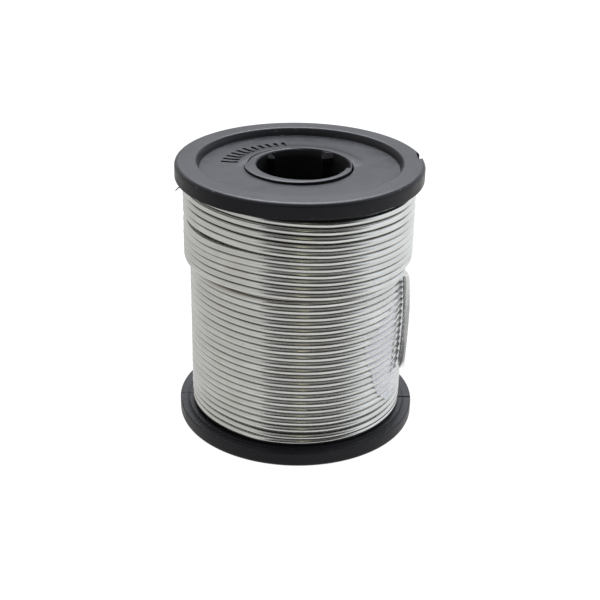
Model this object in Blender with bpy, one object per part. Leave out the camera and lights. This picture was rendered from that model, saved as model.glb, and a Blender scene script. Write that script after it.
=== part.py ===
"""A reel of solder wire: a three-piece plastic spool (two flanges snapped on a core tube), one
long solder wire wound on it in close layers, and the strip of clear tape that holds the wire's end.
Metres, +Z up along the reel's axis. The origin is on the axis at the foot of the bottom flange."""

import math

import bmesh
import bpy
from mathutils import Vector

MM = 0.001

# ---- driving dimensions, in millimetres ----
HEIGHT = 60.0              # over both flanges
FLANGE_R = 26.5
RIM_T = 3.3                # thickness of a flange at its rim
WEB_T = 1.5                # thickness of a flange inside its outer recess
RECESS_R = 21.7            # recess in the outer face of each flange
RECESS_STEP = 0.8          # depth of the ledge half way down the recess wall
FLANGE_HOLE_R = 11.4       # hole that the core tube's neck passes through
CORE_R = 11.8              # winding barrel of the core tube
CORE_NECK_R = 11.1         # where it passes through a flange
LIP_R = 11.65              # snap lip that holds a flange on; it runs round the front only
LIP_T = 0.55
LIP_CENTRE = (-0.3, 0.5)
LIP_AZ = (178.0, 349.0)
BORE_R = 9.5
RIB_H, RIB_W = 1.0, 2.2    # vee-shaped grip ribs along the bore
RIB_AZ = (-14.0, 56.0, 130.0, 202.0, 274.0)
RIB_END = 0.8              # how far below the mouth a rib starts
CORE_PROUD = 0.5           # how far the tube's end stands out of the web behind the lip
GAP = 0.3                  # between pieces that touch

WIRE_D = 1.5
PITCH = 1.55               # axial distance between turns
FIRST_TURN_Z = 4.4         # centre of the lowest turn
FULL_LAYERS_R = 23.6       # outside of the nine full layers
GROOVE_R = 23.05           # bottom of the groove between two turns
OPEN_TURNS = 22            # turns of the last full layer left uncovered
OUTER_R = 24.9             # outside of the part layer on top
OUTER_GROOVE_R = 24.35
OUTER_TURNS = 11

NOTCH_AZ, NOTCH_W, NOTCH_D, NOTCH_L = 10.5, 1.1, 2.2, 4.4  # wire notch in the top rim
NOTCH_TURN = 12.0          # the notch runs out of the rim at its far end
START_SLOT_AZ, START_SLOT_W, START_SLOT_D = -3.0, 0.7, 0.7  # start slot in the bottom flange

TAPE_AZ = (-54.0, 6.0)
TAPE_Z = (9.0, 41.0)
TAPE_T = 0.2
TAIL_AZ_TOP, TAIL_AZ_LOW = -15.0, -20.0
TAIL_END_Z = 14.3
SEGMENTS = 48

BARREL_Z = (RIM_T + GAP, HEIGHT - RIM_T - GAP)  # the winding space, less the gaps


def clear_scene():
    for obj in list(bpy.data.objects):
        bpy.data.objects.remove(obj, do_unlink=True)


def material(name, colour, roughness, metallic=0.0, alpha=1.0):
    mat = bpy.data.materials.new(name)
    mat.use_nodes = True
    bsdf = mat.node_tree.nodes["Principled BSDF"]
    bsdf.inputs["Base Color"].default_value = (*colour, 1.0)
    bsdf.inputs["Roughness"].default_value = roughness
    bsdf.inputs["Metallic"].default_value = metallic
    bsdf.inputs["Alpha"].default_value = alpha
    return mat


def on_circle(radius, azimuth, z=0.0):
    a = math.radians(azimuth)
    return Vector((radius * math.cos(a) * MM, radius * math.sin(a) * MM, z * MM))


def add_object(name, bm, mat=None, sharp_deg=35.0):
    bmesh.ops.recalc_face_normals(bm, faces=bm.faces[:])
    mesh = bpy.data.meshes.new(name)
    bm.to_mesh(mesh)
    bm.free()
    obj = bpy.data.objects.new(name, mesh)
    bpy.context.scene.collection.objects.link(obj)
    mesh.shade_smooth()
    mesh.set_sharp_from_angle(angle=math.radians(sharp_deg))
    if mat:
        mesh.materials.append(mat)
    return obj


def turned(name, profile, mat, segments=SEGMENTS):
    """A closed (radius, height) outline in millimetres, spun once round the Z axis."""
    bm = bmesh.new()
    verts = [bm.verts.new((r * MM, 0.0, z * MM)) for r, z in profile]
    edges = [bm.edges.new((verts[i], verts[(i + 1) % len(verts)])) for i in range(len(verts))]
    bmesh.ops.spin(
        bm, geom=verts + edges, cent=(0, 0, 0), axis=(0, 0, 1),
        angle=math.tau, steps=segments, use_merge=True, use_duplicate=False,
    )
    bmesh.ops.remove_doubles(bm, verts=bm.verts[:], dist=1e-7)
    return add_object(name, bm, mat)


def box(name, size, centre, azimuth=0.0):
    """A cutter or an insert: a box in millimetres, turned about Z."""
    bm = bmesh.new()
    bmesh.ops.create_cube(bm, size=1.0)
    bmesh.ops.scale(bm, vec=[s * MM for s in size], verts=bm.verts[:])
    obj = add_object(name, bm)
    obj.location = centre
    obj.rotation_euler = (0.0, 0.0, math.radians(azimuth))
    obj.hide_render = True
    obj.display_type = "WIRE"
    return obj


def boolean(obj, other, operation):
    mod = obj.modifiers.new(other.name, "BOOLEAN")
    mod.operation = operation
    mod.object = other
    mod.solver = "EXACT"


def prism(name, corners, z_low, z_high, mat=None):
    """An outline of (x, y) corners in millimetres, stretched from one height to the other."""
    bm = bmesh.new()
    low = [bm.verts.new((x * MM, y * MM, z_low * MM)) for x, y in corners]
    high = [bm.verts.new((x * MM, y * MM, z_high * MM)) for x, y in corners]
    bm.faces.new(low)
    bm.faces.new(high)
    n = len(corners)
    for i in range(n):
        bm.faces.new((low[i], low[(i + 1) % n], high[(i + 1) % n], high[i]))
    obj = add_object(name, bm, mat)
    obj.hide_render = True
    obj.display_type = "WIRE"
    return obj


def lip_plate(name, inner_r, z_low, z_high):
    """The snap lip: a part ring, a little off the axis, on the front of the tube's end."""
    steps = 30
    first, last = LIP_AZ
    angles = [math.radians(first + (last - first) * i / steps) for i in range(steps + 1)]
    corners = [(LIP_CENTRE[0] + LIP_R * math.cos(a), LIP_CENTRE[1] + LIP_R * math.sin(a)) for a in angles]
    corners += [(inner_r * math.cos(a), inner_r * math.sin(a)) for a in reversed(angles)]
    return prism(name, corners, z_low, z_high)


def flange_outline():
    """The bottom flange's section: outer face at z 0, winding face at z RIM_T."""
    deep = RIM_T - WEB_T
    return [
        (FLANGE_HOLE_R, RIM_T),
        (FLANGE_HOLE_R, deep),
        (RECESS_R - 0.45, deep),
        (RECESS_R - 0.30, deep - 0.25),
        (RECESS_R - 0.20, RECESS_STEP),
        (RECESS_R + 0.15, RECESS_STEP - 0.1),
        (RECESS_R + 0.25, 0.2),
        (RECESS_R + 0.55, 0.0),
        (FLANGE_R - 1.45, 0.0),
        (FLANGE_R - 0.55, 0.3),
        (FLANGE_R - 0.12, 0.85),
        (FLANGE_R, 1.5),
        (FLANGE_R, RIM_T - 0.25),
        (FLANGE_R - 0.25, RIM_T),
    ]


def make_flanges(mat):
    bottom = turned("bottom_flange", flange_outline(), mat)
    slot = box(
        "start_slot_cutter", (5.5, START_SLOT_W, 2 * START_SLOT_D),
        on_circle(FLANGE_R - 2.4, START_SLOT_AZ, RIM_T), START_SLOT_AZ,
    )
    boolean(bottom, slot, "DIFFERENCE")
    top = turned("top_flange", [(r, HEIGHT - z) for r, z in flange_outline()], mat)
    notch = box(
        "wire_notch_cutter", (NOTCH_W, NOTCH_L, 2 * NOTCH_D),
        on_circle(FLANGE_R - 0.75, NOTCH_AZ, HEIGHT), NOTCH_AZ - NOTCH_TURN,
    )
    boolean(top, notch, "DIFFERENCE")
    return bottom, top


def make_core(mat):
    end = RIM_T - WEB_T - CORE_PROUD
    outline = [
        (BORE_R, end + 0.4),
        (BORE_R + 0.15, end + 0.12),
        (BORE_R + 0.45, end),
        (CORE_NECK_R - 0.15, end),
        (CORE_NECK_R, end + 0.15),
        (CORE_NECK_R, BARREL_Z[0]),
        (CORE_R, BARREL_Z[0]),
        (CORE_R, BARREL_Z[1]),
        (CORE_NECK_R, BARREL_Z[1]),
        (CORE_NECK_R, HEIGHT - end - 0.15),
        (CORE_NECK_R - 0.15, HEIGHT - end),
        (BORE_R + 0.45, HEIGHT - end),
        (BORE_R + 0.15, HEIGHT - end - 0.12),
        (BORE_R, HEIGHT - end - 0.4),
    ]
    core = turned("core_tube", outline, mat)
    lip_low = RIM_T - WEB_T - GAP          # the lip's side that faces the web
    low = lip_plate("low_lip", 10.5, lip_low - LIP_T, lip_low)
    boolean(core, low, "UNION")
    high = lip_plate("high_lip", 10.5, HEIGHT - lip_low, HEIGHT - lip_low + LIP_T)
    boolean(core, high, "UNION")
    for i, az in enumerate(RIB_AZ):
        a = math.radians(az)
        corners = [(BORE_R - RIB_H, 0.0), (BORE_R + 0.35, RIB_W / 2 + 0.2),
                   (BORE_R + 0.35, -RIB_W / 2 - 0.2)]
        turned_corners = [(x * math.cos(a) - y * math.sin(a), x * math.sin(a) + y * math.cos(a))
                          for x, y in corners]
        rib = prism(f"rib_{i + 1}", turned_corners, end + RIB_END, HEIGHT - end - RIB_END)
        boolean(core, rib, "UNION")
    return core


def grooved(first_z, turns, crest_r, groove_r):
    """The outline of close turns: one crest for each turn and one groove between two."""
    points = []
    for k in range(turns):
        z = first_z + k * PITCH
        if k:
            points.append((groove_r, z - PITCH / 2))
        points.append((crest_r, z))
    return points


def make_wire(mat):
    lo, hi = BARREL_Z
    rounds = grooved(FIRST_TURN_Z, OPEN_TURNS, FULL_LAYERS_R, GROOVE_R)
    covered = rounds[-1][1] + PITCH / 2
    outline = [(CORE_R + GAP, lo), (GROOVE_R, lo), *rounds, (GROOVE_R, covered),
               (FULL_LAYERS_R, covered + 0.3), (FULL_LAYERS_R, hi), (CORE_R + GAP, hi)]
    full = turned("solder_wire_full_layers", outline, mat)
    top_turn = HEIGHT - FIRST_TURN_Z - 0.2
    first = top_turn - (OUTER_TURNS - 1) * 1.58
    points = []
    for k in range(OUTER_TURNS):
        z = first + k * 1.58
        if k:
            points.append((OUTER_GROOVE_R, z - 0.79))
        points.append((OUTER_R, z))
    outline = [(FULL_LAYERS_R + GAP, first - WIRE_D / 2), (OUTER_GROOVE_R, first - WIRE_D / 2),
               *points, (OUTER_GROOVE_R, hi), (FULL_LAYERS_R + GAP, hi)]
    outer = turned("solder_wire_outer_layer", outline, mat)
    return full, outer, first - WIRE_D / 2


def smooth_through(points, per_span):
    """A Catmull-Rom curve read at even steps between the given points."""
    p = [points[0] + (points[0] - points[1])] + points + [points[-1] + (points[-1] - points[-2])]
    out = []
    for i in range(1, len(p) - 2):
        for k in range(per_span):
            t = k / per_span
            out.append(0.5 * (2 * p[i] + (p[i + 1] - p[i - 1]) * t
                              + (2 * p[i - 1] - 5 * p[i] + 4 * p[i + 1] - p[i + 2]) * t * t
                              + (3 * p[i] - p[i - 1] - 3 * p[i + 1] + p[i + 2]) * t ** 3))
    out.append(p[-2])
    return out


def make_tail(mat, under_z):
    """The last few centimetres of the wire, bent down from the part layer along the winding."""
    r = FULL_LAYERS_R + GAP + WIRE_D / 2
    z0 = under_z - GAP - WIRE_D / 2
    guide = [
        on_circle(r, -27.5, z0), on_circle(r, -23.0, z0 - 0.25), on_circle(r, -19.0, z0 - 1.3),
        on_circle(r, -16.2, z0 - 3.2), on_circle(r, TAIL_AZ_TOP, z0 - 6.5),
        on_circle(r, TAIL_AZ_TOP - 1.0, z0 - 12.0), on_circle(r, -18.0, z0 - 17.5),
        on_circle(r, TAIL_AZ_LOW, TAIL_END_Z),
    ]
    points = smooth_through(guide, 3)
    curve = bpy.data.curves.new("solder_wire_tail", "CURVE")
    curve.dimensions = "3D"
    curve.bevel_depth = WIRE_D / 2 * MM
    curve.bevel_resolution = 2
    curve.use_fill_caps = True
    spline = curve.splines.new("POLY")
    spline.points.add(len(points) - 1)
    for point, co in zip(spline.points, points):
        point.co = (*co, 1.0)
    curve.materials.append(mat)
    obj = bpy.data.objects.new("solder_wire_tail", curve)
    bpy.context.scene.collection.objects.link(obj)
    return obj


def make_tape(mat, step_z):
    """A strip that lies on the winding, climbs the step of the part layer and arches over the tail."""
    low_r, high_r = FULL_LAYERS_R + GAP, OUTER_R + GAP
    tail_r = FULL_LAYERS_R + GAP + WIRE_D + GAP
    columns, rows = 20, 10
    z_of = [TAPE_Z[0] + (step_z - 1.2 - TAPE_Z[0]) * i / 7 for i in range(8)] + [step_z - 0.1, TAPE_Z[1]]

    def radius(az, z):
        base = low_r if z < step_z - 0.6 else high_r
        middle = TAIL_AZ_LOW + (TAIL_AZ_TOP - TAIL_AZ_LOW) * min(1.0, max(0.0, (z - TAIL_END_Z) / 14.0))
        near = max(0.0, 1.0 - max(0.0, abs(az - middle) - 5.5) / 5.0)
        if z > step_z - 4.0:
            near = max(near, max(0.0, 1.0 - max(0.0, abs(az + 22.0) - 9.0) / 5.0))
        return max(base, low_r + (tail_r + 0.05 - low_r) * near)

    bm = bmesh.new()
    inner, outer = [], []
    for i in range(rows):
        z = z_of[i]
        left = TAPE_AZ[0] + 18.0 * max(0.0, 1.0 - (z - TAPE_Z[0]) / 12.0)  # the slanting cut end
        line_in, line_out = [], []
        for j in range(columns + 1):
            az = left + (TAPE_AZ[1] - left) * j / columns
            r = radius(az, z)
            line_in.append(bm.verts.new(on_circle(r, az, z)))
            line_out.append(bm.verts.new(on_circle(r + TAPE_T, az, z)))
        inner.append(line_in)
        outer.append(line_out)
    for i in range(rows - 1):
        for j in range(columns):
            bm.faces.new((inner[i][j], inner[i + 1][j], inner[i + 1][j + 1], inner[i][j + 1]))
            bm.faces.new((outer[i][j], outer[i][j + 1], outer[i + 1][j + 1], outer[i + 1][j]))
    for j in range(columns):
        bm.faces.new((inner[0][j], inner[0][j + 1], outer[0][j + 1], outer[0][j]))
        bm.faces.new((inner[-1][j], outer[-1][j], outer[-1][j + 1], inner[-1][j + 1]))
    for i in range(rows - 1):
        bm.faces.new((inner[i][0], outer[i][0], outer[i + 1][0], inner[i + 1][0]))
        bm.faces.new((inner[i][-1], inner[i + 1][-1], outer[i + 1][-1], outer[i][-1]))
    return add_object("end_tape", bm, mat)


clear_scene()
black = (0.012, 0.012, 0.014)
make_flanges(material("flange_plastic", black, 0.42))
make_core(material("core_plastic", black, 0.45))
_, _, STEP_Z = make_wire(material("solder_wire", (0.70, 0.69, 0.66), 0.28, 1.0))
make_tail(material("solder_wire_end", (0.70, 0.69, 0.66), 0.28, 1.0), STEP_Z)
make_tape(material("clear_tape", (0.92, 0.93, 0.95), 0.15, 0.0, 0.35), STEP_Z)
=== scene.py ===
"""The look of a reel of solder wire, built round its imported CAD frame. Metres, +Z up."""

import math

import bmesh
import bpy
import numpy as np
from mathutils import Matrix, Quaternion, Vector


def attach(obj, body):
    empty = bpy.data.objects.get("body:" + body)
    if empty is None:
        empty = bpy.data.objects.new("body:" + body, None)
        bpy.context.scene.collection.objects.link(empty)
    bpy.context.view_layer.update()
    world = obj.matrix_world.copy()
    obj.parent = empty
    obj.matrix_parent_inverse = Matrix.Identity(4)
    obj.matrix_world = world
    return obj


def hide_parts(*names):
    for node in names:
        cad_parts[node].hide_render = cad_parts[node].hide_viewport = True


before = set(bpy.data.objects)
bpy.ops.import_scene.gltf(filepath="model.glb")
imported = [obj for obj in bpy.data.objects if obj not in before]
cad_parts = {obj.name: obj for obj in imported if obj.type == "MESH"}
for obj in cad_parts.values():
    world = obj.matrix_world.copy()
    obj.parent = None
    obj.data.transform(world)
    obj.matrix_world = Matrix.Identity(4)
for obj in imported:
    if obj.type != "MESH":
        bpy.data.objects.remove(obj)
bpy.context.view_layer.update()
RNG = np.random.default_rng(7)
MM = 0.001

# ---- the CAD part's own numbers, in millimetres ----
HEIGHT = 60.0
FLANGE_R, RIM_T, WEB_T = 26.5, 3.3, 1.5
FLANGE_HOLE_R, CORE_NECK_R, BORE_R, CORE_R = 11.4, 11.1, 9.5, 11.8
RECESS_R, RECESS_STEP = 21.7, 0.8
LIP_R, LIP_T, LIP_CENTRE, LIP_AZ, CORE_PROUD = 11.65, 0.55, (-0.3, 0.5), (178.0, 349.0), 0.5
RIB_H, RIB_W, RIB_AZ, RIB_END = 1.0, 2.2, (-14.0, 56.0, 130.0, 202.0, 274.0), 0.8
NOTCH_AZ, NOTCH_W, NOTCH_D, NOTCH_L, NOTCH_TURN = 10.5, 1.1, 2.2, 4.4, 12.0
START_SLOT_AZ = -3.0
GAP = 0.3
WIRE_R = 0.75
WINDOW = (RIM_T, HEIGHT - RIM_T)
FULL_R, OUTER_R, TAIL_R = 22.85, 24.14, 24.36   # where the wire's centre line runs


# =====================================================================================
# small mesh tools
# =====================================================================================
def link(name, mesh, slot, *nodes):
    obj = bpy.data.objects.new(name, mesh)
    bpy.context.scene.collection.objects.link(obj)
    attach(obj, "root")
    if nodes:
        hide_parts(*nodes)
    return obj


def mesh_of(name, points, faces, smooth=True, sharp=None):
    """points in millimetres"""
    mesh = bpy.data.meshes.new(name)
    mesh.from_pydata((np.asarray(points, float) * MM).tolist(), [], faces)
    mesh.validate()
    mesh.update()
    if smooth:
        mesh.shade_smooth()
        if sharp:
            mesh.set_sharp_from_angle(angle=math.radians(sharp))
    return mesh


def rounded(corners, steps=6):
    """A closed outline with its corners rounded: (x, y, radius) each."""
    out = []
    n = len(corners)
    for i in range(n):
        p = np.array(corners[i][:2], float)
        a = np.array(corners[i - 1][:2], float) - p
        b = np.array(corners[(i + 1) % n][:2], float) - p
        la, lb = np.linalg.norm(a), np.linalg.norm(b)
        a, b = a / la, b / lb
        r = corners[i][2]
        half = math.acos(max(-1.0, min(1.0, float(a @ b)))) / 2
        if r <= 0 or half > math.radians(88):
            out.append(tuple(p))
            continue
        cut = min(r / math.tan(half), la * 0.49, lb * 0.49)
        r = cut * math.tan(half)
        middle = p + (a + b) / np.linalg.norm(a + b) * (r / math.sin(half))
        t0, t1 = p + a * cut - middle, p + b * cut - middle
        a0 = math.atan2(t0[1], t0[0])
        turn = (math.atan2(t1[1], t1[0]) - a0 + math.pi) % math.tau - math.pi
        for k in range(steps + 1):
            ang = a0 + turn * k / steps
            out.append((middle[0] + r * math.cos(ang), middle[1] + r * math.sin(ang)))
    return out


def split_long(outline, longest):
    out = []
    for i, p in enumerate(outline):
        q = outline[(i + 1) % len(outline)]
        n = max(1, int(math.ceil(math.dist(p, q) / longest)))
        out += [(p[0] + (q[0] - p[0]) * k / n, p[1] + (q[1] - p[1]) * k / n) for k in range(n)]
    return out


def lathe(outline, segments):
    """Points and faces of a closed (r, z) outline turned about Z."""
    o = np.array(outline)
    ang = np.arange(segments) / segments * math.tau
    pts = np.stack([
        np.outer(np.cos(ang), o[:, 0]), np.outer(np.sin(ang), o[:, 0]),
        np.tile(o[:, 1], (segments, 1))], -1).reshape(-1, 3)
    n = len(o)
    i, j = np.meshgrid(np.arange(segments), np.arange(n), indexing="ij")
    i2, j2 = (i + 1) % segments, (j + 1) % n
    faces = np.stack([i * n + j, i2 * n + j, i2 * n + j2, i * n + j2], -1).reshape(-1, 4)
    area = 0.5 * float(np.sum(o[:, 0] * np.roll(o[:, 1], -1) - np.roll(o[:, 0], -1) * o[:, 1]))
    if area < 0:
        faces = faces[:, ::-1]
    return pts, faces.tolist()


def prism_mesh(groups, z_low, z_high):
    """Closed prisms, one for each outline of (x, y) corners."""
    bm = bmesh.new()
    for corners in groups:
        low = [bm.verts.new((x * MM, y * MM, z_low * MM)) for x, y in corners]
        high = [bm.verts.new((x * MM, y * MM, z_high * MM)) for x, y in corners]
        n = len(corners)
        bm.faces.new(low)
        bm.faces.new(high)
        for k in range(n):
            bm.faces.new((low[k], low[(k + 1) % n], high[(k + 1) % n], high[k]))
    bmesh.ops.recalc_face_normals(bm, faces=bm.faces[:])
    mesh = bpy.data.meshes.new("cutter")
    bm.to_mesh(mesh)
    bm.free()
    return mesh


def carve(obj, mesh, operation="DIFFERENCE"):
    """A Boolean with a mesh, applied at once."""
    other = bpy.data.objects.new("cutter", mesh)
    bpy.context.scene.collection.objects.link(other)
    mod = obj.modifiers.new("carve", "BOOLEAN")
    mod.operation, mod.solver, mod.object = operation, "EXACT", other
    deps = bpy.context.evaluated_depsgraph_get()
    done = bpy.data.meshes.new_from_object(obj.evaluated_get(deps), depsgraph=deps)
    obj.modifiers.clear()
    old = obj.data
    obj.data = done
    bpy.data.objects.remove(other)
    bpy.data.meshes.remove(old)
    bpy.data.meshes.remove(mesh)


def finish_shading(obj, sharp=28.0):
    """Drops slivers, shades smooth and keeps hard corners hard."""
    bm = bmesh.new()
    bm.from_mesh(obj.data)
    bmesh.ops.remove_doubles(bm, verts=bm.verts[:], dist=2e-7)
    bmesh.ops.dissolve_degenerate(bm, edges=bm.edges[:], dist=1e-7)
    bm.to_mesh(obj.data)
    bm.free()
    obj.data.shade_smooth()
    obj.data.set_sharp_from_angle(angle=math.radians(sharp))
    mod = obj.modifiers.new("even_normals", "WEIGHTED_NORMAL")
    mod.keep_sharp = True


def rotated_box(length, width, centre, azimuth):
    """Corners of a rectangle: length along the azimuth, width across it."""
    a = math.radians(azimuth)
    u, v = (math.cos(a), math.sin(a)), (-math.sin(a), math.cos(a))
    return [(centre[0] + u[0] * l + v[0] * w, centre[1] + u[1] * l + v[1] * w)
            for l, w in ((-length / 2, -width / 2), (length / 2, -width / 2),
                         (length / 2, width / 2), (-length / 2, width / 2))]


def polar(r, az):
    return (r * math.cos(math.radians(az)), r * math.sin(math.radians(az)))


# =====================================================================================
# procedural materials
# =====================================================================================
class Nodes:
    def __init__(self, name):
        self.mat = bpy.data.materials.new(name)
        self.mat.use_nodes = True
        self.tree = self.mat.node_tree
        self.tree.nodes.clear()
        self.out = self.new("ShaderNodeOutputMaterial")
        self.bsdf = self.new("ShaderNodeBsdfPrincipled")
        self.tree.links.new(self.bsdf.outputs[0], self.out.inputs[0])
        self.pos = self.new("ShaderNodeTexCoord").outputs["Object"]

    def new(self, kind):
        return self.tree.nodes.new(kind)

    def put(self, socket, value):
        if isinstance(value, bpy.types.NodeSocket):
            self.tree.links.new(value, socket)
        else:
            socket.default_value = value

    def math(self, op, a, b=0.0, c=0.0, clamp=False):
        n = self.new("ShaderNodeMath")
        n.operation, n.use_clamp = op, clamp
        for s, v in zip(n.inputs, (a, b, c)):
            self.put(s, v)
        return n.outputs[0]

    def xyz(self, v):
        n = self.new("ShaderNodeSeparateXYZ")
        self.put(n.inputs[0], v)
        return n.outputs

    def vec(self, x, y, z):
        n = self.new("ShaderNodeCombineXYZ")
        for s, v in zip(n.inputs, (x, y, z)):
            self.put(s, v)
        return n.outputs[0]

    def noise(self, vector, scale, detail=3.0, rough=0.55, distort=0.0):
        n = self.new("ShaderNodeTexNoise")
        self.put(n.inputs["Vector"], vector)
        n.inputs["Scale"].default_value = scale
        n.inputs["Detail"].default_value = detail
        n.inputs["Roughness"].default_value = rough
        n.inputs["Distortion"].default_value = distort
        return n.outputs["Fac"]

    def ramp(self, fac, lo, hi, out_lo=0.0, out_hi=1.0):
        n = self.new("ShaderNodeMapRange")
        n.interpolation_type = "SMOOTHSTEP"
        for key, v in (("Value", fac), ("From Min", lo), ("From Max", hi),
                       ("To Min", out_lo), ("To Max", out_hi)):
            self.put(n.inputs[key], v)
        return n.outputs[0]

    def mix(self, fac, a, b):
        n = self.new("ShaderNodeMix")
        n.data_type = "RGBA"
        self.put(n.inputs["Factor"], fac)
        self.put(n.inputs["A"], (*a, 1.0) if isinstance(a, tuple) else a)
        self.put(n.inputs["B"], (*b, 1.0) if isinstance(b, tuple) else b)
        return n.outputs["Result"]

    def bump(self, height, distance, strength=1.0, normal=None):
        n = self.new("ShaderNodeBump")
        n.inputs["Strength"].default_value = strength
        n.inputs["Distance"].default_value = distance
        self.put(n.inputs["Height"], height)
        if normal is not None:
            self.put(n.inputs["Normal"], normal)
        return n.outputs[0]

    def cylindrical(self):
        x, y, z = self.xyz(self.pos)
        az = self.math("ARCTAN2", y, x)
        r = self.math("SQRT", self.math("ADD", self.math("MULTIPLY", x, x),
                                        self.math("MULTIPLY", y, y)))
        return az, r, z

    def set(self, **values):
        for key, v in values.items():
            self.put(self.bsdf.inputs[key.replace("_", " ")], v)


def plastic(name, marks=(), bore=False):
    """Black moulded polystyrene: satin, faintly mottled, handled."""
    m = Nodes(name)
    mottle = m.noise(m.pos, 260.0, 3.0, 0.6)
    cloud = m.noise(m.pos, 55.0, 2.0, 0.5)
    grain = m.noise(m.pos, 4200.0, 2.0, 0.6)
    az, r, z = m.cylindrical()
    rings = m.noise(m.vec(m.math("MULTIPLY", az, 0.004), m.math("MULTIPLY", r, 1.0), z), 1500.0, 2.0, 0.5)
    # thin handling scratches in two directions
    x, y, _ = m.xyz(m.pos)
    along = m.noise(m.vec(m.math("MULTIPLY", m.math("ADD", x, m.math("MULTIPLY", y, 0.45)), 0.05),
                          m.math("SUBTRACT", y, m.math("MULTIPLY", x, 0.45)), z), 900.0, 1.0, 0.5)
    across = m.noise(m.vec(m.math("SUBTRACT", x, m.math("MULTIPLY", y, 0.8)),
                           m.math("MULTIPLY", m.math("ADD", y, m.math("MULTIPLY", x, 0.8)), 0.04),
                           z), 700.0, 1.0, 0.5)
    scratch = m.math("MAXIMUM", m.ramp(along, 0.70, 0.76), m.ramp(across, 0.72, 0.78))
    dust = m.ramp(m.noise(m.pos, 1500.0, 0.0, 0.5), 0.80, 0.84)
    base = m.mix(m.ramp(cloud, 0.35, 0.7), (0.0062, 0.0063, 0.0078), (0.0095, 0.0096, 0.0112))
    base = m.mix(m.math("MULTIPLY", scratch, 0.08), base, (0.05, 0.05, 0.055))
    base = m.mix(m.math("MULTIPLY", dust, 0.13), base, (0.20, 0.20, 0.20))
    for px, py, pz, size in marks:
        d = m.new("ShaderNodeVectorMath")
        d.operation = "DISTANCE"
        m.put(d.inputs[0], m.pos)
        d.inputs[1].default_value = (px * MM, py * MM, pz * MM)
        spot = m.ramp(d.outputs["Value"], size * MM, size * 0.55 * MM)
        base = m.mix(spot, base, (0.62, 0.62, 0.60))
    rough = m.math("ADD", m.ramp(mottle, 0.3, 0.75, 0.33, 0.43), m.math("MULTIPLY", scratch, 0.08))
    if bore:
        # painted shade: deep in the bore the wall's colour is darkened to near black, and the wall is made duller
        depth = m.math("SUBTRACT", 0.0300, m.math("ABSOLUTE", m.math("SUBTRACT", z, 0.0300)))
        bore_shade = m.math("MULTIPLY", m.ramp(depth, 0.0019, 0.0032), m.ramp(r, 0.0109, 0.0106))
        base = m.mix(bore_shade, base, (0.0006, 0.0006, 0.0007))
        rough = m.math("ADD", rough, m.math("MULTIPLY", bore_shade, 0.5), clamp=True)
    normal = m.bump(grain, 0.000012, 0.55)
    normal = m.bump(rings, 0.000006, 0.35, normal)
    normal = m.bump(scratch, -0.00001, 0.5, normal)
    m.set(Base_Color=base, Roughness=rough, Normal=normal)
    m.bsdf.inputs["IOR"].default_value = 1.5
    m.bsdf.inputs["Specular IOR Level"].default_value = 0.13
    return m.mat


def solder(name, tint=(0.632, 0.636, 0.616), vertical=False):
    """Drawn tin-lead wire: bright grey, with fine draw lines along it and dull patches."""
    m = Nodes(name)
    az, r, z = m.cylindrical()
    k = 0.0235
    if vertical:
        along = m.vec(m.math("MULTIPLY", az, k), m.math("MULTIPLY", r, 1.0), m.math("MULTIPLY", z, 0.03))
    else:
        along = m.vec(m.math("MULTIPLY", az, k * 0.03), m.math("MULTIPLY", r, 1.0), z)
    lines = m.noise(along, 5200.0, 2.0, 0.6)
    fine = m.noise(along, 12000.0, 1.0, 0.5)
    patch = m.noise(m.vec(m.math("MULTIPLY", az, k * 0.25), r, z), 700.0, 3.0, 0.6)
    blotch = m.noise(m.pos, 170.0, 3.0, 0.55)
    nick = m.ramp(m.noise(m.pos, 950.0, 1.0, 0.5), 0.765, 0.80)
    turn = m.noise(m.vec(m.math("MULTIPLY", az, 0.0012), 0.0, z), 640.0, 1.0, 0.5)
    base = m.mix(m.ramp(patch, 0.35, 0.70), tint, tuple(c * 0.90 for c in tint))
    base = m.mix(m.ramp(turn, 0.40, 0.66, 0.0, 0.8), base, tuple(c * 0.84 for c in tint))
    base = m.mix(m.ramp(blotch, 0.48, 0.75, 0.0, 0.55), base, (0.53, 0.52, 0.495))
    base = m.mix(m.math("MULTIPLY", m.ramp(lines, 0.52, 0.72), 0.20), base, (0.50, 0.495, 0.48))
    base = m.mix(m.math("MULTIPLY", nick, 0.5), base, (0.40, 0.39, 0.37))
    # painted shade: a brownish-grey band darkens the full layer's wire just below the part layer's last turn, where
    # that turn shades it
    step_shade = m.math("MULTIPLY", m.ramp(z, 0.0371, 0.0376), m.ramp(z, 0.0392, 0.0388))
    step_shade = m.math("MULTIPLY", step_shade, m.ramp(r, 0.02375, 0.02362))
    base = m.mix(m.math("MULTIPLY", step_shade, 0.65), base, (0.36, 0.335, 0.30))
    rough = m.math("ADD", m.ramp(patch, 0.3, 0.75, 0.17, 0.25), m.math("MULTIPLY", m.ramp(lines, 0.4, 0.7), 0.04))
    normal = m.bump(lines, 0.000003, 0.18)
    normal = m.bump(fine, 0.0000015, 0.12, normal)
    normal = m.bump(nick, -0.00003, 0.6, normal)
    m.set(Base_Color=base, Roughness=rough, Normal=normal)
    m.bsdf.inputs["Metallic"].default_value = 1.0
    return m.mat


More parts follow.
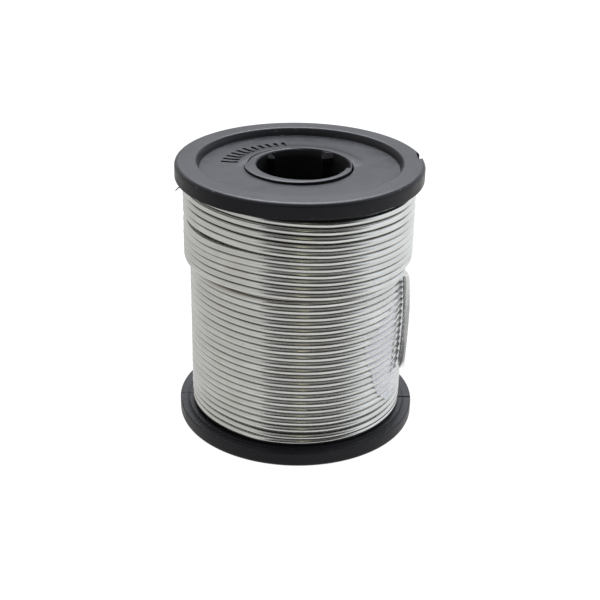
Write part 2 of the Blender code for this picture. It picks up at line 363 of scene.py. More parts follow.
def film(name):
    """Clear parcel tape: a glossy skin, milky where it lies on the turns, with painted shade in a toothed
    hollow where it bridges from the turns up to the wire's end, and a painted dark reflection along that end."""
    m = Nodes(name)
    az, r, z = m.cylindrical()
    deg = m.math("MULTIPLY", az, 57.29578)
    zm = m.math("MULTIPLY", z, 1000.0)
    cloud = m.noise(m.pos, 90.0, 2.0, 0.5)
    crease = m.noise(m.vec(m.math("MULTIPLY", az, 0.0235), r, m.math("MULTIPLY", z, 0.35)), 260.0, 2.0, 0.5, 0.4)
    rough_edge = m.noise(m.pos, 1400.0, 2.0, 0.6)

    def inside(value, low, high, soft):
        return m.math("MULTIPLY", m.ramp(value, low - soft, low + soft), m.ramp(value, high + soft, high - soft))

    # the milky patch, low on the left, ends on a slanting line
    top = m.math("ADD", m.math("MULTIPLY", deg, 0.30), 41.2)
    below = m.ramp(m.math("SUBTRACT", top, zm), -0.5, 0.9)
    patch = m.math("MULTIPLY", below, m.ramp(deg, -21.0, -31.0))
    milk = m.math("MULTIPLY", patch, m.ramp(cloud, 0.25, 0.75, 0.15, 0.29))
    milk = m.math("MULTIPLY", milk, m.ramp(deg, -52.0, -36.0, 0.45, 1.0))
    # painted shade: dark teeth between the turns in the hollow beside the wire's end
    lean = m.math("SUBTRACT", deg, m.math("SUBTRACT", m.math("MULTIPLY", zm, 0.285), 32.9))
    lean = m.math("ADD", lean, m.math("MULTIPLY", m.math("SUBTRACT", rough_edge, 0.5), 3.0))
    phase = m.math("ADD", m.math("DIVIDE", m.math("ADD", zm, 0.28 - FULL_FIRST), FULL_PITCH),
                   m.math("DIVIDE", m.math("ADD", deg, 90.0), 360.0))
    phase = m.math("ADD", phase, m.math("MULTIPLY", lean, 0.06))
    wave = m.math("COSINE", m.math("MULTIPLY", phase, math.tau))
    tooth_shade = m.math("MULTIPLY", m.ramp(wave, 0.72, -0.25), m.ramp(m.math("ABSOLUTE", lean), 2.6, 0.3))
    tooth_shade = m.math("MULTIPLY", tooth_shade, inside(zm, 14.6, 35.4, 0.5))
    tooth_shade = m.math("MULTIPLY", tooth_shade, m.ramp(rough_edge, 0.35, 0.60, 0.62, 1.0))
    # painted reflection: a dark line along the left side of the wire's end, standing in for the dark room it
    # mirrors
    beside = m.math("SUBTRACT", deg, m.math("SUBTRACT", m.math("MULTIPLY", zm, 0.37), 27.4))
    line = m.math("MULTIPLY", m.ramp(m.math("ABSOLUTE", beside), 1.15, 0.55), inside(zm, 21.0, 33.6, 1.2))
    line = m.math("MULTIPLY", line, m.ramp(rough_edge, 0.3, 0.6, 0.05, 0.20))
    # painted shade: a grey veil dims the wire's end seen through the tape
    over = m.math("MULTIPLY", inside(beside, 1.0, 6.0, 0.5), inside(zm, 14.4, 33.6, 1.2))
    # the painted shade of the teeth and the painted dark reflection of the line, together
    dark = m.math("MAXIMUM", tooth_shade, line)
    rim = m.new("ShaderNodeAttribute")
    rim.attribute_type = "GEOMETRY"
    rim.attribute_name = "edge"
    alpha = m.math("ADD", 0.03, milk)
    alpha = m.math("ADD", alpha, m.math("MULTIPLY", m.ramp(crease, 0.60, 0.74), 0.06))
    alpha = m.math("ADD", alpha, m.math("MULTIPLY", m.math("MULTIPLY", rim.outputs["Fac"], m.ramp(zm, 22.0, 16.0, 0.02, 0.28)), 1.0))
    alpha = m.math("MAXIMUM", alpha, m.math("MULTIPLY", over, 0.20))
    alpha = m.math("MAXIMUM", alpha, m.math("MULTIPLY", dark, 0.72), clamp=True)
    base = m.mix(m.ramp(cloud, 0.3, 0.8), (0.70, 0.71, 0.79), (0.83, 0.84, 0.90))
    base = m.mix(over, base, (0.30, 0.30, 0.30))
    # the painted shade and the painted dark reflection are laid on near black
    base = m.mix(dark, base, (0.012, 0.012, 0.013))
    normal = m.bump(crease, 0.00004, 0.22)
    m.set(Base_Color=base, Roughness=m.ramp(crease, 0.3, 0.8, 0.12, 0.26), Alpha=alpha, Normal=normal)
    m.bsdf.inputs["IOR"].default_value = 1.46
    m.bsdf.inputs["Specular IOR Level"].default_value = 0.5
    return m.mat


# =====================================================================================
# the two flanges
# =====================================================================================
def flange_profile(crown, skirt):
    """(r, depth below the outer face); crown is how far the rim's face falls to its edge and
    skirt is how far its inner edge stands proud on the winding's side"""
    web = RIM_T - WEB_T
    corners = [
        (FLANGE_HOLE_R, RIM_T, 0.12), (FLANGE_HOLE_R, web, 0.12),
        (RECESS_R - 0.40, web, 0.12),
        (RECESS_R - 0.22, RECESS_STEP + 0.25, 0.40),
        (RECESS_R + 0.22, 0.0, 0.62),
        (FLANGE_R, crown, 0.9), (FLANGE_R, RIM_T + skirt, 0.24),
        (FLANGE_R - 1.1, RIM_T + skirt, 0.1), (FLANGE_R - 1.3, RIM_T, 0.0),
        (FLANGE_R - 1.9, RIM_T, 0.0),
        (FLANGE_R - 2.0, RIM_T - 0.06, 0.0),
        (FLANGE_R - 2.12, RIM_T - 0.06, 0.0),
        (FLANGE_R - 2.22, RIM_T, 0.0),
    ]
    return split_long(rounded(corners, 7), 1.2)


def lip_ring(inner_r, steps=120):
    a = np.radians(np.linspace(LIP_AZ[0], LIP_AZ[1], steps))
    outer = [(LIP_CENTRE[0] + LIP_R * math.cos(t), LIP_CENTRE[1] + LIP_R * math.sin(t)) for t in a]
    return outer + [(inner_r * math.cos(t), inner_r * math.sin(t)) for t in a[::-1]]


def sector(r0, r1, az0, az1, steps=8):
    a = np.linspace(az0, az1, steps)
    return [polar(r1, t) for t in a] + [polar(r0, t) for t in a[::-1]]


def mould_marks():
    """A plain, even row of sunk radial bars: a tick pattern that says nothing."""
    groups = []
    middle = 15.3
    for i in range(11):
        length = 3.8 if i < 6 else 2.6
        groups.append(rotated_box(length, 0.85, polar(middle, 171.0 - 6.7 * i), 171.0 - 6.7 * i))
    return groups


def make_flange(name, top, mat, node):
    outline = flange_profile(0.10 if top else 0.0, 0.20 if top else 0.02)
    if top:
        outline = [(r, HEIGHT - d) for r, d in outline]
    pts, faces = lathe(outline, 288)
    # a hand-moulded look: the web and rim are not perfectly true
    a = np.arctan2(pts[:, 1], pts[:, 0])
    r = np.hypot(pts[:, 0], pts[:, 1])
    side = 1.0 if top else -1.0
    wave = 0.022 * np.sin(2 * a + 0.7) + 0.015 * np.sin(3 * a + 2.1) + 0.010 * np.sin(7 * a + 0.4)
    inner = np.clip((RECESS_R - 0.6 - r) / 6.0, 0, 1) * np.clip((r - FLANGE_HOLE_R) / 3.0, 0, 1)
    pts[:, 2] += side * (wave * 0.5 - 0.05 * inner * (np.sin(a * 2 + 1.0) * 0.5 + 0.5) - 0.02)
    # behind the snap lip the web swells up round the hole, until it is level with the tube's end
    rear = np.clip(np.sin(a - math.radians(2.0)) * 1.9 + 0.1, 0, 1)
    rear = rear * rear * (3 - 2 * rear)
    rise = np.clip((14.6 - r) / 2.6, 0, 1)
    rise = rise * rise * (3 - 2 * rise)
    face = (pts[:, 2] > HEIGHT - 1.9) if top else (pts[:, 2] < 1.9)
    pts[:, 2] += side * np.where(face & (r < 15.0), 0.50 * rear * rise, 0.0)
    obj = link(name, mesh_of(name, pts, faces), "flange_plastic", node)

    web = RIM_T - WEB_T
    if top:
        carve(obj, prism_mesh([rotated_box(NOTCH_W, NOTCH_L, polar(FLANGE_R - 0.62, NOTCH_AZ - 2.0),
                                           NOTCH_AZ - 2.0 - NOTCH_TURN * 0.6)], HEIGHT - NOTCH_D, HEIGHT + NOTCH_D))
        carve(obj, prism_mesh(mould_marks(), HEIGHT - web - 0.38, HEIGHT - web + 1.0))
    else:
        # the slot that the wire starts from, and two parting lines
        carve(obj, prism_mesh([rotated_box(5.6, 0.42, polar(FLANGE_R - 2.4, START_SLOT_AZ), START_SLOT_AZ)],
                              RIM_T - 0.7, RIM_T + 0.7))
        carve(obj, prism_mesh([rotated_box(3.6, 0.12, polar(FLANGE_R - 1.6, -177.0), -177.0),
                               rotated_box(3.6, 0.14, polar(FLANGE_R - 1.6, -157.0), -155.0)],
                              RIM_T - 0.10, RIM_T + 0.5))
    obj.data.materials.clear()
    obj.data.materials.append(mat)
    finish_shading(obj, 34.0)
    if top:
        # a whisker of moulding flash under the rim
        c = np.array(polar(26.0, -158.8))
        path = [(c[0] + 0.35 - dx, c[1], 56.95 - dz)
                for dx, dz in ((0.0, 0.0), (0.45, 0.22), (0.95, 0.52), (1.35, 0.90), (1.62, 1.30))]
        size = np.array([(0.14, 0.13), (0.13, 0.12), (0.12, 0.11), (0.11, 0.10), (0.07, 0.06)])
        flash = link("flash_whisker", sweep("flash_whisker", path, size, 8), "flange_plastic")
        flash.data.materials.append(mat)
    return obj


# =====================================================================================
# the core tube, with its front snap lip and its grip ribs
# =====================================================================================
def lip_mesh(z_low, z_high):
    """The snap lip with softened edges: z_high is its outer face."""
    up = 1.0 if z_high > z_low else -1.0
    steps = 140
    a = np.radians(np.linspace(LIP_AZ[0], LIP_AZ[1], steps))
    taper = np.clip(np.minimum(np.arange(steps), np.arange(steps)[::-1] * 2.0) / 10.0, 0.0, 1.0)
    lip_r = LIP_R - 0.55 * (1.0 - taper) ** 2
    section = [(0.0, 0.0), (0.0, abs(z_high - z_low) - 0.16), (-0.05, abs(z_high - z_low) - 0.05),
               (-0.17, abs(z_high - z_low))]
    bm = bmesh.new()
    rows = []
    for t, lr in zip(a, lip_r):
        c, s_ = math.cos(t), math.sin(t)
        inner = 9.98
        row = [(LIP_CENTRE[0] + (lr + dr) * c, LIP_CENTRE[1] + (lr + dr) * s_, z_low + up * dz)
               for dr, dz in section]
        row += [(inner * c, inner * s_, z_high), (inner * c, inner * s_, z_low)]
        rows.append([bm.verts.new([v * MM for v in p]) for p in row])
    for p, q in zip(rows, rows[1:]):
        n = len(p)
        for k in range(n):
            bm.faces.new((p[k], p[(k + 1) % n], q[(k + 1) % n], q[k]))
    bm.faces.new(rows[0])
    bm.faces.new(rows[-1])
    bmesh.ops.recalc_face_normals(bm, faces=bm.faces[:])
    mesh = bpy.data.meshes.new("lip")
    bm.to_mesh(mesh)
    bm.free()
    return mesh


def make_core(mat):
    end = RIM_T - WEB_T - CORE_PROUD
    corners = [
        (BORE_R, end, 0.55), (CORE_NECK_R, end, 0.14), (CORE_NECK_R, RIM_T + GAP, 0.0),
        (CORE_R, RIM_T + GAP, 0.1), (CORE_R, HEIGHT - RIM_T - GAP, 0.1),
        (CORE_NECK_R, HEIGHT - RIM_T - GAP, 0.0), (CORE_NECK_R, HEIGHT - end, 0.14),
        (BORE_R, HEIGHT - end, 0.55),
    ]
    pts, faces = lathe(split_long(rounded(corners, 7), 8.0), 192)
    # the mouth is funnelled a little off centre, so that its rim is thin behind and on the right
    r = np.hypot(pts[:, 0], pts[:, 1])
    out = np.clip((r - 10.6) / -0.6, 0.0, 1.0)
    near = np.clip((np.abs(pts[:, 2] - HEIGHT / 2) - (HEIGHT / 2 - end - 2.6)) / 2.2, 0.0, 1.0)
    near = near * near * (3 - 2 * near)
    pts[:, :2] *= (1.0 + (0.42 / 9.6) * out * near)[:, None]
    pts[:, 0] += 0.70 * out * near
    pts[:, 1] += 0.78 * out * near
    obj = link("core_tube_moulding", mesh_of("core_tube_moulding", pts, faces), "core_plastic", "core_tube")
    lip_low = RIM_T - WEB_T - 0.05
    top_plate = lip_mesh(HEIGHT - lip_low, HEIGHT - lip_low + 0.46)
    low_plate = lip_mesh(lip_low, lip_low - 0.46)
    carve(obj, top_plate, "UNION")
    carve(obj, low_plate, "UNION")
    ribs = []
    z0, z1 = end + 0.12, HEIGHT - end - 0.12
    for az in RIB_AZ:
        for t, (zs, ze) in enumerate(((z0, z1),)):
            a = math.radians(az)
            ca, sa = math.cos(a), math.sin(a)

            def at(x, y):
                return (x * ca - y * sa, x * sa + y * ca)

            base = BORE_R + 1.25
            w = RIB_W / 2 + 0.45
            tip = BORE_R - RIB_H
            ring = []
            for z, reach in ((zs, 0.0), (zs + 1.0, 1.0), (ze - 1.0, 1.0), (ze, 0.0)):
                apex = base - 0.45 - (base - 0.45 - tip) * reach
                ring.append([(*at(apex, 0.0), z), (*at(base, w), z), (*at(base, -w), z)])
            ribs.append(ring)
    bm = bmesh.new()
    for ring in ribs:
        rows = [[bm.verts.new([c * MM for c in p]) for p in row] for row in ring]
        bm.faces.new(rows[0])
        bm.faces.new(rows[-1])
        for a, b in zip(rows, rows[1:]):
            for k in range(3):
                bm.faces.new((a[k], a[(k + 1) % 3], b[(k + 1) % 3], b[k]))
    bmesh.ops.recalc_face_normals(bm, faces=bm.faces[:])
    mesh = bpy.data.meshes.new("ribs")
    bm.to_mesh(mesh)
    bm.free()
    carve(obj, mesh, "UNION")
    obj.data.materials.clear()
    obj.data.materials.append(mat)
    finish_shading(obj, 30.0)
    return obj


# =====================================================================================
# the wire
# =====================================================================================
def sweep(name, centre, radii, sides, end_caps=True):
    """A round wire along a centre line that stays near the reel's surface (millimetres).
    radii: one (outward, sideways) pair for each point."""
    c = np.asarray(centre, float)
    t = np.gradient(c, axis=0)
    t /= np.linalg.norm(t, axis=1)[:, None]
    out = c.copy()
    out[:, 2] = 0.0
    out /= np.linalg.norm(out, axis=1)[:, None]
    out -= t * np.sum(out * t, axis=1)[:, None]
    out /= np.linalg.norm(out, axis=1)[:, None]
    side = np.cross(t, out)
    ang = np.arange(sides) / sides * math.tau
    pts = (c[:, None, :] + out[:, None, :] * (np.cos(ang)[None, :, None] * radii[:, 0][:, None, None])
           + side[:, None, :] * (np.sin(ang)[None, :, None] * radii[:, 1][:, None, None]))
    m = len(c)
    pts = pts.reshape(-1, 3)
    i, j = np.meshgrid(np.arange(m - 1), np.arange(sides), indexing="ij")
    j2 = (j + 1) % sides
    faces = np.stack([i * sides + j, i * sides + j2, (i + 1) * sides + j2, (i + 1) * sides + j], -1)
    faces = faces.reshape(-1, 4).tolist()
    faces.append(list(range(sides)))
    faces.append([(m - 1) * sides + k for k in range(sides)][::-1])
    mesh = mesh_of(name, pts, faces, True)
    bm = bmesh.new()
    bm.from_mesh(mesh)
    bmesh.ops.recalc_face_normals(bm, faces=bm.faces[:])
    bm.to_mesh(mesh)
    bm.free()
    mesh.shade_smooth()
    mesh.set_sharp_from_angle(angle=math.radians(50))
    return mesh


def wobble(theta, seed, amount, per_turn=3.0):
    """A slow, repeatable unevenness along the wire."""
    rng = np.random.default_rng(seed)
    out = np.zeros_like(theta)
    for k in range(7):
        f = per_turn * (0.35 + 0.45 * k) * (0.8 + 0.4 * rng.random())
        out += np.sin(np.radians(theta) * f + rng.random() * math.tau) / (1.0 + 0.6 * k)
    return out * amount / 2.0


def bump_at(theta, centre, width, height):
    return height * np.exp(-0.5 * ((theta - centre) / width) ** 2)


# heights of the turns' centres at the front, from the top down, for the part layer
OUTER_FRONT = [55.02, 53.34, 51.63, 49.93, 48.41, 46.86, 45.32, 43.95, 42.40, 40.82, 39.25]
FULL_FIRST, FULL_PITCH, FULL_TURNS = 4.43, 1.552, 34


# how far each turn strays from a true helix, by azimuth: the part layer's five upper turns
# are pushed together under the flange on the left, which opens a gap below them
STRAY_AZ = [-165.0, -150.0, -140.0, -130.0, -118.0, -105.0, -90.0, -75.0, -60.0, -45.0, -30.0, 20.0]
STRAY_UPPER = [0.60, 0.67, 0.68, 0.67, 0.48, 0.20, -0.12, -0.45, -0.48, -0.50, -0.60, -0.30]
STRAY_LOWER = [-0.20, -0.10, 0.00, 0.14, 0.20, 0.04, -0.16, -0.40, -0.42, -0.54, -0.60, -0.30]
STRAY_FULL = [-0.30, -0.08, 0.00, 0.02, -0.08, -0.26, -0.26, -0.36, -0.36, -0.32, -0.22, -0.10]
STRAY_LOWEST = [0.0, 0.0, 0.0, 0.0, -0.05, -0.20, -0.28, -0.25, -0.25, -0.22, -0.15, 0.0]


def outer_stray(theta):
    xs, zs = [], []
    for k in range(-1, len(OUTER_FRONT) + 1):
        table = STRAY_UPPER if k <= 4 else STRAY_LOWER
        xs += [a + 360.0 * k for a in STRAY_AZ]
        zs += table
    return np.interp(theta, xs, zs)


def full_stray(theta, z):
    az = (theta + 180.0) % 360.0 - 180.0
    knots = STRAY_AZ + [STRAY_AZ[0] + 360.0]
    s = np.interp(az, [k - 360.0 for k in knots[-1:]] + STRAY_AZ + [knots[-1]],
                  [STRAY_FULL[0]] + STRAY_FULL + [STRAY_FULL[0]])
    low = np.interp(az, STRAY_AZ + [knots[-1]], STRAY_LOWEST + [0.0])
    return s + low * np.clip((8.0 - z) / 1.6, 0.0, 1.0)


def outer_height(theta):
    """Height of the part layer's centre line; theta is -90 + 360 k at the front of turn k."""
    knots_x = [-90.0 + 360.0 * k for k in range(len(OUTER_FRONT))]
    knots_z = list(OUTER_FRONT)
    knots_x = [knots_x[0] - 360.0] + knots_x + [knots_x[-1] + 360.0]
    knots_z = [knots_z[0] + 1.6] + knots_z + [knots_z[-1] - 1.55]
    return np.interp(theta, knots_x, knots_z) + outer_stray(theta)


def full_height(theta):
    """Height of the last full layer's centre line, falling as the azimuth grows."""
    z = FULL_FIRST + FULL_PITCH * ((FULL_TURNS - 1) - (theta + 90.0) / 360.0)
    z = z - 0.13 * np.clip((8.0 - z) / 1.2, 0.0, 1.0)
    return z + full_stray(theta, z)


def make_full_layer(mat):
    top = WINDOW[1] - WIRE_R - 0.05
    low = WINDOW[0] + WIRE_R + 0.05
    theta = np.arange(-90.0 - 60.0, -90.0 + 360.0 * (FULL_TURNS - 1) + 118.0, 360.0 / 126)
    z = full_height(theta)
    z = np.clip(z + wobble(theta, 3, 0.03), low, top)
    r = FULL_R + wobble(theta, 4, 0.022, 5.0)
    dip = np.clip((theta - (theta[-1] - 30.0)) / 30.0, 0.0, 1.0)
    r = r - 1.1 * dip * dip * (3 - 2 * dip)        # the lowest turn comes up from the layer beneath
    a = np.radians(theta)
    centre = np.stack([r * np.cos(a), r * np.sin(a), z], -1)
    radii = np.full((len(theta), 2), WIRE_R)
    mesh = sweep("wire_full_layer", centre, radii, 14)
    obj = link("wire_full_layer", mesh, "solder_wire", "solder_wire_full_layers")
    mesh.materials.append(mat)
    # the turns beneath, seen only as a ribbed dark ground through the gaps
    outline = [(CORE_R + GAP, WINDOW[0] + GAP), (21.9, WINDOW[0] + GAP)]
    z = WINDOW[0] + 1.1
    while z < WINDOW[1] - 1.2:
        outline += [(22.10, z - 0.5), (22.22, z), (22.10, z + 0.5), (21.8, z + 0.775)]
        z += FULL_PITCH
    outline += [(21.9, WINDOW[1] - GAP), (CORE_R + GAP, WINDOW[1] - GAP)]
    pts, faces = lathe(outline, 96)
    under = link("wire_layers_beneath", mesh_of("wire_layers_beneath", pts, faces), "solder_wire")
    under.data.materials.append(mat)
    return obj


def make_outer(mat):
    last = -90.0 + 360.0 * 10 + 62.0          # where the last turn leaves its row
    theta = np.arange(-90.0 - 145.0, last, 2.4)
    z = outer_height(theta) + wobble(theta, 9, 0.04)
    z = np.minimum(z, WINDOW[1] - WIRE_R - 0.06)
    r = OUTER_R + wobble(theta, 12, 0.03, 5.0)
    ramp = np.clip((theta[0] + 46.0 - theta) / 46.0, 0.0, 1.0)
    r = r - ramp * ramp * (3 - 2 * ramp) * (OUTER_R - FULL_R)      # it climbs out of the full layer
    a = np.radians(theta)
    turns = np.stack([r * np.cos(a), r * np.sin(a), z], -1)
    z_end = float(z[-1])
    guide = [(-25.0, z_end - 0.10, 24.16), (-22.2, z_end - 0.42, 24.20), (-19.6, z_end - 1.25, 24.27),
             (-17.3, z_end - 2.6, 24.33), (-15.6, z_end - 4.6, TAIL_R), (-13.9, 31.6, TAIL_R),
             (-12.3, 27.6, TAIL_R + 0.05), (-12.8, 23.4, TAIL_R + 0.05), (-15.0, 18.9, TAIL_R + 0.02),
             (-19.2, 14.6, TAIL_R)]
    key = np.array(guide)
    key = np.vstack([[math.degrees(a[-1]) % 360 - 360, z_end, r[-1]], key])
    s = np.concatenate([[0], np.cumsum(np.hypot(np.diff(np.radians(key[:, 0])) * 24.3, np.diff(key[:, 1])))])
    fine = np.linspace(0, s[-1], 110)[1:]
    tail_pts = []
    # a natural cubic through the guide
    def cubic(x, y, q):
        n = len(x)
        h = np.diff(x)
        A = np.zeros((n, n)); B = np.zeros(n)
        A[0, 0] = A[-1, -1] = 1.0
        for k in range(1, n - 1):
            A[k, k - 1], A[k, k], A[k, k + 1] = h[k - 1], 2 * (h[k - 1] + h[k]), h[k]
            B[k] = 6 * ((y[k + 1] - y[k]) / h[k] - (y[k] - y[k - 1]) / h[k - 1])
        m = np.linalg.solve(A, B)
        idx = np.clip(np.searchsorted(x, q) - 1, 0, n - 2)
        dx = q - x[idx]
        hh = h[idx]
        return (y[idx] + dx * ((y[idx + 1] - y[idx]) / hh - hh * (2 * m[idx] + m[idx + 1]) / 6)
                + dx ** 2 * m[idx] / 2 + dx ** 3 * (m[idx + 1] - m[idx]) / (6 * hh))
    ta = np.radians(cubic(s, key[:, 0], fine))
    tz = cubic(s, key[:, 1], fine)
    tr = cubic(s, key[:, 2], fine)
    tail = np.stack([tr * np.cos(ta), tr * np.sin(ta), tz], -1)
    centre = np.vstack([turns, tail])
    radii = np.full((len(centre), 2), WIRE_R)
    # the end is pinched by side cutters
    n = 7
    for k in range(n):
        q = (k + 1) / n
        radii[-n + k, 0] = WIRE_R * (1.0 - 0.80 * q ** 1.5)
        radii[-n + k, 1] = WIRE_R * (1.0 + 0.06 * q)
    mesh = sweep("wire_part_layer_and_tail", centre, radii, 16)
    obj = link("wire_part_layer_and_tail", mesh, "solder_wire", "solder_wire_outer_layer", "solder_wire_tail")
    mesh.materials.append(mat)
    return obj


# =====================================================================================
# the tape patch
# =====================================================================================
def make_tape(mat):
    az0, az1 = -54.0, 6.0
    z0, z1 = 9.0, 41.0
    step_z = OUTER_FRONT[-1] - WIRE_R - 0.1
    cols, rows = 130, 150
    u = np.linspace(0, 1, cols)
    v = np.linspace(0, 1, rows)
    z = z0 + (z1 - z0) * v
    tail_z = [14.6, 18.9, 23.4, 27.6, 31.6, 34.6, 37.0, 38.4]
    tail_a = [-19.2, -15.0, -12.8, -12.3, -13.7, -15.6, -17.6, -21.0]
    pts = np.zeros((rows, cols, 3))
    edge = np.zeros((rows, cols))
    for i, zz in enumerate(z):
        left = np.interp(zz, [9.0, 12.2, 15.5, 18.5, 21.5, 24.5, 30.0, 41.0],
                         [-32.5, -41.3, -45.0, -47.0, -51.0, -52.3, -54.0, -52.0])
        right = az1 + 1.2 * math.sin(zz * 0.21)
        az = left + (right - left) * u
        gone = np.minimum(np.minimum(az - left, right - az) * 0.41, min(zz - z0, z1 - zz))
        edge[i] = np.exp(-gone / 0.22)
        phase = (zz - FULL_FIRST) / FULL_PITCH - (az + 90.0) / 360.0
        ridge = 0.10 * (np.cos(phase * math.tau) - 1.0)      # it follows the turns a little
        lay = 23.64 + ridge
        outer = 24.93
        free = np.clip((az + 26.0) / 8.0, 0.0, 1.0)      # past the wire's end it spans the step
        t = 1.0 / (1.0 + np.exp(-(zz - step_z - 0.2 + 2.2 * free) * (2.2 - 1.3 * free)))
        base = lay * (1 - t) + outer * t
        middle = np.interp(zz, tail_z, tail_a)
        d = (az - middle) * math.pi / 180 * 24.0
        over = 25.16 - 0.16 * np.clip(np.abs(d) - 0.7, 0, None) ** 1.4
        over = np.where(d > 0, over, 25.16 - 0.55 * np.clip(np.abs(d) - 0.6, 0, None) ** 1.3)
        if zz < 14.4:
            over = over - (14.4 - zz) * 0.35
        k = 7.0
        r = np.log(np.exp(k * (base - 24)) + np.exp(k * (over - 24))) / k + 24
        r = r + 0.035 * np.sin(az * 0.55 + zz * 0.9) * np.sin(zz * 0.33 + 1.0)
        pts[i, :, 0] = r * np.cos(np.radians(az))
        pts[i, :, 1] = r * np.sin(np.radians(az))
        pts[i, :, 2] = zz + 0.25 * np.sin(az * 0.35) * (1 if i in (0, rows - 1) else 0)
    p = pts.reshape(-1, 3)
    i, j = np.meshgrid(np.arange(rows - 1), np.arange(cols - 1), indexing="ij")
    q = i * cols + j
    faces = np.stack([q, q + 1, q + cols + 1, q + cols], -1).reshape(-1, 4).tolist()
    mesh = mesh_of("tape_patch", p, faces)
    mesh.attributes.new("edge", "FLOAT", "POINT").data.foreach_set("value", edge.ravel())
    obj = link("tape_patch", mesh, "clear_tape", "end_tape")
    mesh.materials.append(mat)
    mod = obj.modifiers.new("film", "SOLIDIFY")
    mod.thickness = 0.05 * MM
    mod.offset = 1.0
    return obj


# =====================================================================================
# floor, light and camera
# =====================================================================================
def plain(name, colour, rough=0.9, emit=None, strength=1.0):
    mat = bpy.data.materials.new(name)
    mat.use_nodes = True
    n = mat.node_tree.nodes["Principled BSDF"]
    n.inputs["Base Color"].default_value = (*colour, 1.0)
    n.inputs["Roughness"].default_value = rough
    n.inputs["Specular IOR Level"].default_value = 0.2
    if emit:
        n.inputs["Emission Color"].default_value = (*emit, 1.0)
        n.inputs["Emission Strength"].default_value = strength
    return mat


def stage_quad(name, corners, mat, camera=False, diffuse=False, shadow=False):
    mesh = bpy.data.meshes.new(name)
    mesh.from_pydata([[c * MM for c in p] for p in corners], [], [list(range(len(corners)))])
    mesh.update()
    mesh.materials.append(mat)
    obj = bpy.data.objects.new(name, mesh)
    bpy.context.scene.collection.objects.link(obj)
    obj.visible_camera = camera
    obj.visible_diffuse = diffuse
    obj.visible_shadow = shadow
    obj.visible_transmission = camera
    return obj


def area(name, at, to, size, power, colour=(1, 1, 1)):
    light = bpy.data.lights.new(name, "AREA")
    light.shape = "RECTANGLE"
    light.size, light.size_y = size[0] * MM, size[1] * MM
    light.energy = power
    light.color = colour
    obj = bpy.data.objects.new(name, light)
    bpy.context.scene.collection.objects.link(obj)
    obj.location = Vector(at) * MM
    obj.rotation_euler = (Vector(to) - Vector(at)).to_track_quat("-Z", "Y").to_euler()
    obj.visible_camera = False
    return obj


def card_material(name, colour, fade=None):
    """An even glow for a card; fade (x0, x1) lets its edge melt away."""
    mat = bpy.data.materials.new(name)
    mat.use_nodes = True
    t = mat.node_tree
    t.nodes.clear()
    out = t.nodes.new("ShaderNodeOutputMaterial")
    glow = t.nodes.new("ShaderNodeEmission")
    glow.inputs[0].default_value = (*colour, 1.0)
    if not fade:
        t.links.new(glow.outputs[0], out.inputs[0])
        return mat
    pos = t.nodes.new("ShaderNodeTexCoord")
    sep = t.nodes.new("ShaderNodeSeparateXYZ")
    t.links.new(pos.outputs["Object"], sep.inputs[0])
    ramp = t.nodes.new("ShaderNodeMapRange")
    ramp.interpolation_type = "SMOOTHSTEP"
    ramp.inputs["From Min"].default_value = fade[0] * MM
    ramp.inputs["From Max"].default_value = fade[1] * MM
    t.links.new(sep.outputs[0], ramp.inputs["Value"])
    clear = t.nodes.new("ShaderNodeBsdfTransparent")
    mix = t.nodes.new("ShaderNodeMixShader")
    t.links.new(ramp.outputs[0], mix.inputs[0])
    t.links.new(glow.outputs[0], mix.inputs[1])
    t.links.new(clear.outputs[0], mix.inputs[2])
    t.links.new(mix.outputs[0], out.inputs[0])
    return mat


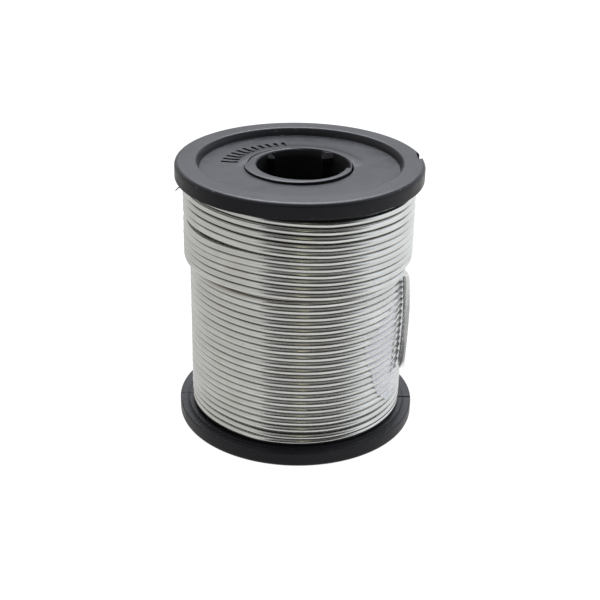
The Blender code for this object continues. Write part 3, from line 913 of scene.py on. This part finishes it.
def make_stage():
    floor_mat = plain("floor_white", (0.02, 0.02, 0.02), 0.95, (1, 1, 1), 1.0)
    S = 3000.0
    floor = stage_quad("floor", [(-S, -S, 0), (S, -S, 0), (S, S, 0), (-S, S, 0)], floor_mat, True, True, True)
    floor.visible_glossy = False
    # no light comes up the bore from under the reel
    ring = [(12.6 * math.cos(t), 12.6 * math.sin(t), 0.04) for t in np.linspace(0, math.tau, 48, endpoint=False)]
    stage_quad("under_reel", ring, plain("under_reel", (0.01, 0.01, 0.01)), True, True, False)
    world = bpy.data.worlds.new("studio")
    bpy.context.scene.world = world
    world.use_nodes = True
    t = world.node_tree
    bg = t.nodes["Background"]
    # a white room, a little brighter and cooler on the right
    co = t.nodes.new("ShaderNodeTexCoord")
    sep = t.nodes.new("ShaderNodeSeparateXYZ")
    t.links.new(co.outputs["Generated"], sep.inputs[0])
    side = t.nodes.new("ShaderNodeMapRange")
    side.inputs["From Min"].default_value, side.inputs["From Max"].default_value = -0.7, 0.8
    t.links.new(sep.outputs[0], side.inputs["Value"])
    mix = t.nodes.new("ShaderNodeMix")
    mix.data_type = "RGBA"
    t.links.new(side.outputs[0], mix.inputs["Factor"])
    mix.inputs["A"].default_value = (0.75, 0.74, 0.71, 1)
    mix.inputs["B"].default_value = (1.14, 1.19, 1.26, 1)
    t.links.new(mix.outputs["Result"], bg.inputs[0])
    bg.inputs[1].default_value = 1.0
    D = 420.0

    def at(az, el, d=D):
        e, a = math.radians(el), math.radians(az - 90.0)
        return (d * math.cos(e) * math.cos(a), d * math.cos(e) * math.sin(a), 30.0 + d * math.sin(e))

    # the dark side of the studio, behind the camera: only reflections see it
    dark = card_material("dark_card", (0.050, 0.047, 0.048), (185.0, 440.0))
    stage_quad("dark_side", [at(-31, -3.8), at(76, -3.4, 470), at(76, 34, 470), at(-31, 36)], dark)
    grey = card_material("grey_card", (0.33, 0.315, 0.31), (150.0, 330.0))
    stage_quad("grey_side", [at(-31, 36), at(76, 34, 470), at(70, 70, 470), at(-30, 74)], grey)
    warm = card_material("warm_strip", (0.92, 0.90, 0.60))
    stage_quad("warm_lamp", [at(6, 30.0, 290), at(14, 30.0, 290), at(16, 72, 290), at(4, 72, 290)], warm)
    # what mirrors of the floor see: a little dimmer on the left
    glow = bpy.data.materials.new("floor_glow")
    glow.use_nodes = True
    g = glow.node_tree
    g.nodes.clear()
    gout = g.nodes.new("ShaderNodeOutputMaterial")
    emit = g.nodes.new("ShaderNodeEmission")
    gpos = g.nodes.new("ShaderNodeTexCoord")
    gsep = g.nodes.new("ShaderNodeSeparateXYZ")
    g.links.new(gpos.outputs["Object"], gsep.inputs[0])
    gramp = g.nodes.new("ShaderNodeMapRange")
    gramp.inputs["From Min"].default_value, gramp.inputs["From Max"].default_value = -0.09, 0.09
    gramp.inputs["To Min"].default_value, gramp.inputs["To Max"].default_value = 0.72, 1.12
    g.links.new(gsep.outputs[0], gramp.inputs["Value"])
    g.links.new(gramp.outputs[0], emit.inputs["Strength"])
    g.links.new(emit.outputs[0], gout.inputs[0])
    stage_quad("floor_glow", [(-S, -S, -0.4), (S, -S, -0.4), (S, S, -0.4), (-S, S, -0.4)], glow)
    area("back_window", (0, 420, 480), (0, 0, 50), (420, 280), 2.3, (0.95, 0.97, 1.05))
    area("top_light", (0, 190, 540), (0, 20, 60), (440, 400), 10.0, (0.95, 0.97, 1.04))


def make_camera():
    cam = bpy.data.cameras.new("camera")
    cam.lens, cam.sensor_width = 71.65, 36.0
    cam.clip_start, cam.clip_end = 0.01, 20.0
    obj = bpy.data.objects.new("camera", cam)
    bpy.context.scene.collection.objects.link(obj)
    el, dist = math.radians(24.97), 265.2
    at = Vector((0.0, -dist * math.cos(el), 30.0 + dist * math.sin(el)))
    ahead = Vector((0.0, math.cos(el), -math.sin(el)))
    right = Vector((1.0, 0.0, 0.0))
    up = right.cross(ahead)
    for axis_name, turn in (("yaw", -0.127), ("pitch", -0.610), ("roll", -1.074)):
        axis = {"yaw": up, "pitch": right, "roll": ahead}[axis_name].copy()
        q = Quaternion(axis, math.radians(turn))
        ahead, right, up = q @ ahead, q @ right, q @ up
    m = Matrix((right, up, -ahead)).transposed().to_4x4()
    m.translation = at * MM
    obj.matrix_world = m
    bpy.context.scene.camera = obj


black = plastic("flange_black", marks=[(*polar(21.75, 142.2), 58.9, 0.20), (*polar(21.8, 155.8), 59.0, 0.19),
                                      (*polar(26.35, -140.8), 59.2, 0.16)])
black_core = plastic("core_black", bore=True)
wire = solder("drawn_solder")
make_flange("top_flange_moulding", True, black, "top_flange")
make_flange("bottom_flange_moulding", False, black, "bottom_flange")
make_core(black_core)
make_full_layer(wire)
make_outer(wire)
make_tape(film("clear_film"))
make_stage()
make_camera()
bpy.context.scene.view_settings.view_transform = "Standard"
